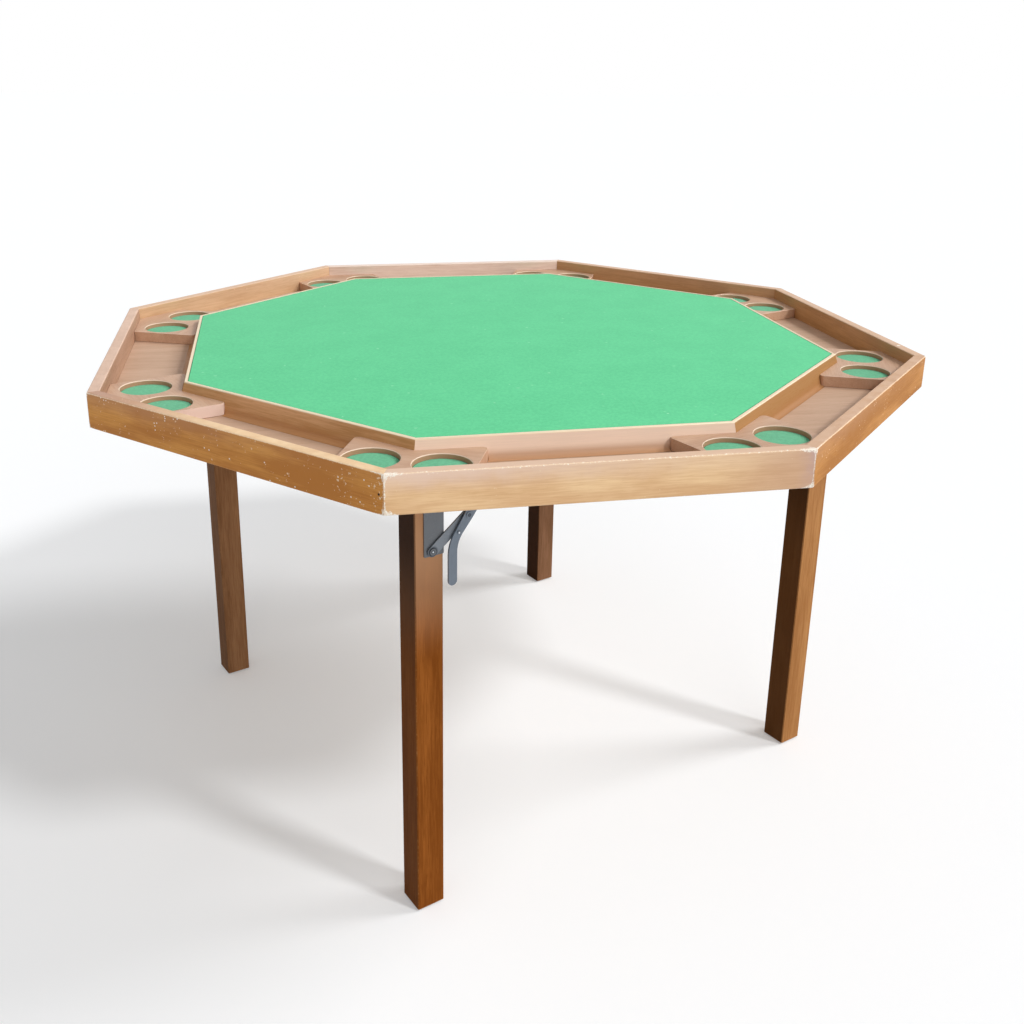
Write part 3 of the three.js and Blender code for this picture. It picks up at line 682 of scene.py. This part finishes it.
def felt_material(name, edge_distance, green, shade):
    """Napped wool: fine fibres, a soft mottle, a few specks of lint and a painted shadow along its
    tucked edge.
    """
    material, tree = new_material(name)
    place = put(tree, "TexCoord").outputs["Object"]
    mottles = {mottle: noise(tree, place, *setting) for mottle, setting in mottle_noises.items()}
    tone = 0
    for mottle, share in mottle_shares.items():
        part = calc(tree, "MULTIPLY", ramp(tree, mottles[mottle], *mottle_limits), share)
        tone = calc(tree, "ADD", tone, part)
    colour = blend_colours(tree, tone, green, shade)
    specks = ramp(tree, noise(tree, place, *speck_noise), *speck_limits)
    colour = blend_colours(tree, specks, colour, felt_lint)
    flat_place = put(tree, "SeparateXYZ", {0: place}).outputs
    for mark in lint_marks:
        lint = near_spot(tree, flat_place[0], flat_place[1], mark, lint_radius)
        colour = blend_colours(tree, calc(tree, "MULTIPLY", lint, lint_share), colour, felt_lint)
    # Painted shadow along the edge.
    colour = blend_colours(tree, ramp(tree, edge_distance(tree), *seam_shadow_reach), colour, felt_seam_shadow)
    nap = put(tree, "Bump", {
        "Height": mottles["fibre"], "Strength": nap_strength, "Distance": nap_height,
    })
    skin = put(tree, "BsdfPrincipled", {
        "Base Color": colour, "Roughness": 0.95, "Normal": nap.outputs[0],
        "Specular IOR Level": 0.1, "Sheen Weight": 0.22, "Sheen Roughness": 0.4,
        "Sheen Tint": (0.6, 1, 0.8, 1),
    })
    put(tree, "OutputMaterial", {"Surface": skin.outputs[0]})
    return material


def felt_pad(name, corners, flat_radius, centre, low, high, turn):
    """A flat pad with a rolled edge: a disc raised by its thickness, with its top drawn in."""
    bpy.ops.object.select_all(action="DESELECT")
    bpy.ops.mesh.primitive_circle_add(
        vertices=corners,
        radius=flat_radius / math.cos(math.pi / corners),
        fill_type="NGON",
        location=(centre[0], centre[1], low),
        rotation=(0, 0, turn),
    )
    pad = bpy.context.object
    pad.name = name
    bpy.ops.object.transform_apply(location=True, rotation=True, scale=True)
    bpy.ops.object.mode_set(mode="EDIT")
    bpy.ops.mesh.select_all(action="SELECT")
    bpy.ops.mesh.extrude_region_move(
        TRANSFORM_OT_translate={"value": (0, 0, high - low - felt_dip)}
    )
    for inwards, upwards in roll_steps:
        bpy.ops.mesh.inset(thickness=felt_roll * inwards, depth=felt_dip * upwards)
    bpy.ops.mesh.select_all(action="SELECT")
    bpy.ops.mesh.normals_make_consistent(inside=False)
    bpy.ops.object.mode_set(mode="OBJECT")
    bpy.ops.object.shade_smooth_by_angle(angle=roll_limit)
    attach(pad, "table_top")
    return pad


def felt_side_distance(tree):
    parts, side = side_place(tree)
    return calc(tree, "SUBTRACT", felt_flat, parts[0])


field = felt_pad(
    "playing_felt_cloth", table_sides, felt_flat, (0, 0), felt_low.z, felt_high.z, half_side
)
dress(field, felt_material("playing_felt_wool", felt_side_distance, felt_green, felt_shade))
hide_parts("playing_felt")

# Corner blocks: solid wood chevrons with two bored recesses each, eased along the top and round
# the bores, where a painted highlight pales the eased lips. Painted shade darkens the walls of the
# bores, and painted light pales the upright faces of block 8.
block_pale = (0.61, 0.40, 0.27, 1)
block_deep = (0.48, 0.28, 0.18, 1)
# Painted highlight on the eased lips, painted shade on the bore walls, painted light on upright
# faces.
block_lip_highlight = (0.88, 0.70, 0.57, 1)
block_bore_shade = (0.47, 0.26, 0.16, 1)
block_lit_end_colour = (0.86, 0.70, 0.63, 1)
lit_end_blocks = {8: 0.75}
lit_end_facing = (0.3, 0.1)
eased_facing = (0.1, 0.4)
level_facing = (0.97, 0.85)
eased_depth = (0.0025, 0.001)
lip_highlight_share = 0.85
bore_margin = 0.0009
bore_blur = 0.0004
bore_depth = (0.0008, 0.0018)
block_edge_ease = 0.0007
block_shift = 1.3
block_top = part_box("corner_block_1")[1].z
cup_labels = ("first", "second")


def cup_circle(cup_name):
    low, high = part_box(cup_name)
    return ((low.x + high.x) / 2, (low.y + high.y) / 2), (high.x - low.x) / 2, low.z, high.z


def bored_walls(tree, place, parts, corner):
    """A mask of the walls of the block's two recesses."""
    level_place = put(tree, "VectorMath", {0: place, 1: (1, 1, 0)}, operation="MULTIPLY").outputs[0]
    bored = 0
    for label in cup_labels:
        centre, radius, low, high = cup_circle(f"cup_felt_{corner + 1}_{label}")
        out = put(tree, "VectorMath", {0: level_place, 1: (*centre, 0)}, operation="DISTANCE")
        edge = radius + bore_margin
        bore = ramp(tree, out.outputs["Value"], edge + bore_blur, edge)
        bored = calc(tree, "MAXIMUM", bored, bore)
    below = ramp(tree, parts[2], block_top - bore_depth[0], block_top - bore_depth[1])
    return calc(tree, "MULTIPLY", bored, below)


def block_colour(tree, place, parts, corner):
    """Adds painted light on the upright faces of the blocks listed, a painted highlight on the
    eased lips and painted shade on the bore walls to a block's stain.
    """
    facing = put(tree, "SeparateXYZ", {0: put(tree, "TexCoord").outputs["Normal"]}).outputs[2]
    leaning = ramp(tree, facing, *eased_facing)
    leaning = calc(tree, "MULTIPLY", leaning, ramp(tree, facing, *level_facing))
    eased_heights = (block_top - eased_depth[0], block_top - eased_depth[1])
    near_top = ramp(tree, parts[2], *eased_heights, 0, lip_highlight_share)
    eased = calc(tree, "MULTIPLY", leaning, near_top)
    lit_end_share = lit_end_blocks.get(corner + 1, 0)
    lit_end_mask = ramp(tree, calc(tree, "ABSOLUTE", facing), *lit_end_facing, 0, lit_end_share)
    bored = bored_walls(tree, place, parts, corner)

    def edit(colour):
        # Painted light on the ends, a painted highlight on the lips, painted shade in the bores.
        colour = blend_colours(tree, lit_end_mask, colour, block_lit_end_colour)
        colour = blend_colours(tree, eased, colour, block_lip_highlight)
        return blend_colours(tree, bored, colour, block_bore_shade)

    return edit


for corner in range(table_sides):
    material, tree = new_material(f"block_wood_{corner + 1}")
    place, parts = turned_place(tree, front_angle + (corner - 0.5) * side_angle)
    lacquered_wood(
        tree, level_grain(tree, parts, corner * block_shift), block_pale, block_deep,
        streaks=0.3, blotches=0.4, roughness=0.42, gloss=0.2,
        edit=block_colour(tree, place, parts, corner),
    )
    piece_name = f"corner_block_{corner + 1}"
    dress(finished_copy(piece_name, "table_top", block_edge_ease), material)

# Cup felts: a round pad of the same felt laid in each recess, greyer and darker than the
# playing felt.
cup_green = (0.185, 0.560, 0.335, 1)
cup_shade = (0.125, 0.425, 0.245, 1)
cup_corners = 48
for corner in range(table_sides):
    for label in cup_labels:
        name = f"cup_felt_{corner + 1}_{label}"
        centre, radius, low, high = cup_circle(name)

        def round_distance(tree):
            place = put(tree, "TexCoord").outputs["Object"]
            out = put(tree, "VectorMath", {0: place, 1: (*centre, high)}, operation="DISTANCE")
            return calc(tree, "SUBTRACT", radius, out.outputs["Value"])

        pad = felt_pad(f"{name}_pad", cup_corners, radius, centre, low, high, 0)
        wool_name = f"cup_felt_wool_{corner + 1}_{label}"
        dress(pad, felt_material(wool_name, round_distance, cup_green, cup_shade))
        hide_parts(name)

# Legs: square posts of the same stained wood with the grain upright, lighter where hands and
# feet have rubbed their corners, with a painted highlight along the corners too. A painted sheen
# lightens them near the top, and painted shade darkens the faces that look to the left, most of
# all under the top.
leg_names = ["front", "right", "back", "left"]
# The right leg's tone is paler, partly its own and partly painting the stronger light on it.
leg_tones = {
    "front": ((0.30, 0.095, 0.016, 1), (0.18, 0.050, 0.006, 1)),
    "right": ((0.46, 0.22, 0.08, 1), (0.33, 0.14, 0.044, 1)),
    "back": ((0.26, 0.13, 0.07, 1), (0.17, 0.08, 0.038, 1)),
    "left": ((0.34, 0.17, 0.08, 1), (0.22, 0.10, 0.042, 1)),
}
# Rubbed wear on the corners and feet, also a painted highlight along the corners.
leg_rub_highlight_colour = (0.44, 0.22, 0.09, 1)
# Painted sheen, lighter towards the top of the legs.
leg_sheen_colour = (0.60, 0.33, 0.18, 1)
leg_sheen_shares = {"front": 0.8, "right": 0.15, "back": 0.25, "left": 0.42}
leg_sheen_heights = (0.42, 0.62)
# Painted shade on the faces that look to the left, and more of it under the top.
leg_left_face_shade = (0.07, 0.022, 0.004, 1)
left_face_shade_shares = {"front": 0.55, "right": 0.85, "back": 0.92, "left": 0.4}
leg_under_top_shade = (0.022, 0.007, 0.002, 1)
under_top_shade_shares = {"front": (0, 0.95), "right": (0.2, 0.9), "back": (0.75, 0.9), "left": (0, 0.4)}
under_top_shade_heights = (0.36, 0.62)
shaded_face_angle = math.radians(-157.5)
shaded_face_side = (math.cos(shaded_face_angle), math.sin(shaded_face_angle), 0)
shaded_face_facing = (0.5, 0.9)
quarter_turn = math.radians(90)
fold_plane_turn = math.radians(135)
leg_half = 0.0225
leg_from_corner = 0.148
rim_inner_corner = rim_inner / math.cos(half_side)
leg_edge_ease = 0.0004
leg_shift = 1.1
leg_foot = 0.0033
corner_rub_and_highlight = {"Width": 0.0008, "Ragged": 0.004}
foot_scuff = {"Width": 0.001, "Ragged": 0.008}
rub_share = 0.6


def leg_place(tree, leg):
    """The object's own place, and its parts in the leg's fold plane: X to the brace, Y inwards."""
    angle = front_angle - half_side + leg * quarter_turn
    centre = Vector((math.cos(angle), math.sin(angle), 0)) * (rim_inner_corner - leg_from_corner)
    place = put(tree, "TexCoord").outputs["Object"]
    moved = put(tree, "VectorMath", {0: place, 1: centre}, operation="SUBTRACT").outputs[0]
    turned = spun(tree, moved, -(angle + fold_plane_turn))
    return place, put(tree, "SeparateXYZ", {0: turned}).outputs


def wear_and_highlight_mask(tree, place, parts):
    """A mask of the worn corners, which also carry a painted highlight, and the scuffed foot."""
    off_x = calc(tree, "SUBTRACT", leg_half, calc(tree, "ABSOLUTE", parts[0]))
    off_y = calc(tree, "SUBTRACT", leg_half, calc(tree, "ABSOLUTE", parts[1]))
    corner_gone = calc(tree, "MAXIMUM", off_x, off_y)
    off_side = calc(tree, "MINIMUM", off_x, off_y)
    foot_gone = calc(tree, "MAXIMUM", calc(tree, "SUBTRACT", parts[2], leg_foot), off_side)
    lit_worn_corners = use_group(tree, wear, {"Vector": place, "Distance": corner_gone, **corner_rub_and_highlight})[0]
    scuffed = use_group(tree, wear, {"Vector": place, "Distance": foot_gone, **foot_scuff})[0]
    return calc(tree, "MULTIPLY", calc(tree, "MAXIMUM", lit_worn_corners, scuffed), rub_share)


def leg_colour(tree, place, parts, leg_name):
    """Adds a painted sheen near the top, painted shade on the left-facing faces, and the worn
    corners with their painted highlight to a leg's stain.
    """
    normal = put(tree, "TexCoord").outputs["Normal"]
    turned = put(tree, "VectorMath", {0: normal, 1: shaded_face_side}, operation="DOT_PRODUCT")
    facing = turned.outputs["Value"]
    # Painted sheen near the top, and painted shade on the left-facing faces.
    top_sheen = ramp(tree, parts[2], *leg_sheen_heights, 0, leg_sheen_shares[leg_name])
    shade_on_left_faces = ramp(tree, facing, *shaded_face_facing, 0, left_face_shade_shares[leg_name])
    shade_under_top = ramp(tree, parts[2], *under_top_shade_heights, *under_top_shade_shares[leg_name])
    shade_under_top = calc(tree, "MULTIPLY", ramp(tree, facing, *shaded_face_facing), shade_under_top)
    # Wear on the corners and feet, with a painted highlight along the corners.
    worn = wear_and_highlight_mask(tree, place, parts)

    def edit(colour):
        colour = blend_colours(tree, top_sheen, colour, leg_sheen_colour)
        colour = blend_colours(tree, shade_on_left_faces, colour, leg_left_face_shade)
        colour = blend_colours(tree, worn, colour, leg_rub_highlight_colour)
        return blend_colours(tree, shade_under_top, colour, leg_under_top_shade)

    return edit


for leg, leg_name in enumerate(leg_names):
    material, tree = new_material(f"leg_wood_{leg_name}")
    place, parts = leg_place(tree, leg)
    along = joined(tree, calc(tree, "ADD", parts[2], leg * leg_shift), parts[1], parts[0])
    pale, deep = leg_tones[leg_name]
    lacquered_wood(
        tree, along, pale, deep,
        streaks=0.5, blotches=0.45, roughness=0.55, gloss=0.03,
        edit=leg_colour(tree, place, parts, leg_name),
    )
    dress(finished_copy(f"leg_{leg_name}", f"{leg_name}_leg", leg_edge_ease), material)

# Glides: round buttons of plated steel, each nailed up into the end of a leg. The floor has
# scratched them brighter.
glide_noise = (400, 3, 0.7)
glide_dark = (0.20, 0.20, 0.21, 1)
glide_bright = (0.42, 0.42, 0.43, 1)
glide_roughness = (0.3, 0.7, 0.3, 0.5)
glide_edge_ease = 0.0003
material, tree = new_material("glide_steel")
scratch = noise(tree, put(tree, "TexCoord").outputs["Object"], *glide_noise)
skin = put(tree, "BsdfPrincipled", {
    "Base Color": blend_colours(tree, scratch, glide_dark, glide_bright),
    "Roughness": ramp(tree, scratch, *glide_roughness),
    "Metallic": 0.9,
})
put(tree, "OutputMaterial", {"Surface": skin.outputs[0]})
for leg_name in leg_names:
    glide = finished_copy(f"glide_{leg_name}", f"{leg_name}_leg", glide_edge_ease)
    dress(glide, material)

# Folding hardware: pressed steel with a dull dark plating, with a painted highlight on the rivet
# heads and painted shade round them.
# The plate is screwed to the leg, the bracket under the panel, and the brace rivets between them.
plate_tone = (0.152, 0.160, 0.172, 1)
link_tone = (0.215, 0.235, 0.262, 1)
lever_tone = (0.180, 0.210, 0.250, 1)
bracket_tone = (0.13, 0.14, 0.16, 1)
# Painted highlight on the rivet crowns and painted shade round the rivets.
rivet_highlight = (0.75, 0.78, 0.82, 1)
rivet_shade = (0.02, 0.025, 0.035, 1)
steel_scuffed = (0.26, 0.28, 0.31, 1)
steel_edge_ease = 0.0003
steel_roughness = (0.3, 0.7, 0.38, 0.55)
plating_noise = (90, 4, 0.65)
plating_limits = (0.45, 0.7)
rub_noise = (420, 3, 0.7)
rub_limits = (0.4, 0.75)
scuff_share = 0.4
rivet_radius = 0.0034
rivet_crown = 0.0017
boss_ring_radius = 0.0095
leg_pivot = (0.0065, 0.688)
link_rivet = (0.0031, 0.5934)
knee_rivet = (0.0586, 0.6369)
stop_rivet = (0.0423, 0.6143)
ear_rivet = (0.1019, 0.697)
# For each kind of steel: its piece, its body, its tone and its rivets, each with its place, the
# radius and share of the ring of painted shade round it, and the share of the painted highlight on
# its crown.
steel_pieces = {
    "plate": ("leg_plate", "leg", plate_tone, [(link_rivet, rivet_radius, 0.8, 0.9)]),
    "bracket": ("table_bracket", None, bracket_tone, [
        (leg_pivot, rivet_radius, 0.4, 0.5), (ear_rivet, rivet_radius, 0.4, 0.5),
    ]),
    "link": ("lower_link", "link", link_tone, [(link_rivet, boss_ring_radius, 0.9, 0)]),
    "lever": ("release_lever", "lever", lever_tone, [
        (knee_rivet, rivet_radius, 0.8, 0.1), (stop_rivet, rivet_radius, 0.2, 1),
    ]),
}


def plated_steel(name, leg, tone, rivets):
    material, tree = new_material(name)
    place, parts = leg_place(tree, leg)
    mottle = noise(tree, place, *plating_noise)
    rub = noise(tree, place, *rub_noise)
    scuffs = calc(
        tree, "MULTIPLY", ramp(tree, mottle, *plating_limits), ramp(tree, rub, *rub_limits)
    )
    colour = blend_colours(tree, calc(tree, "MULTIPLY", scuffs, scuff_share), tone, steel_scuffed)
    for rivet, ring_radius, ring, crown in rivets:
        ring_mask = near_spot(tree, parts[0], parts[2], rivet, ring_radius)
        ring_mask = calc(tree, "MULTIPLY", ring_mask, ring)
        crown_mask = near_spot(tree, parts[0], parts[2], rivet, rivet_crown)
        crown_mask = calc(tree, "MULTIPLY", crown_mask, crown)
        # Painted shade round the rivet, then a painted highlight on its crown.
        colour = blend_colours(tree, ring_mask, colour, rivet_shade)
        colour = blend_colours(tree, crown_mask, colour, rivet_highlight)
    grit = put(tree, "Bump", {"Height": rub, "Strength": 0.15, "Distance": 0.0002})
    skin = put(tree, "BsdfPrincipled", {
        "Base Color": colour, "Metallic": 0.8, "Normal": grit.outputs[0], "Specular IOR Level": 0.4,
        "Roughness": ramp(tree, mottle, *steel_roughness),
    })
    put(tree, "OutputMaterial", {"Surface": skin.outputs[0]})
    return material


for leg, leg_name in enumerate(leg_names):
    for kind, (piece_name, body_kind, tone, rivets) in steel_pieces.items():
        body = f"{leg_name}_{body_kind}" if body_kind else "table_top"
        material = plated_steel(f"{kind}_steel_{leg_name}", leg, tone, rivets)
        dress(finished_copy(f"{piece_name}_{leg_name}", body, steel_edge_ease), material)

low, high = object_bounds()
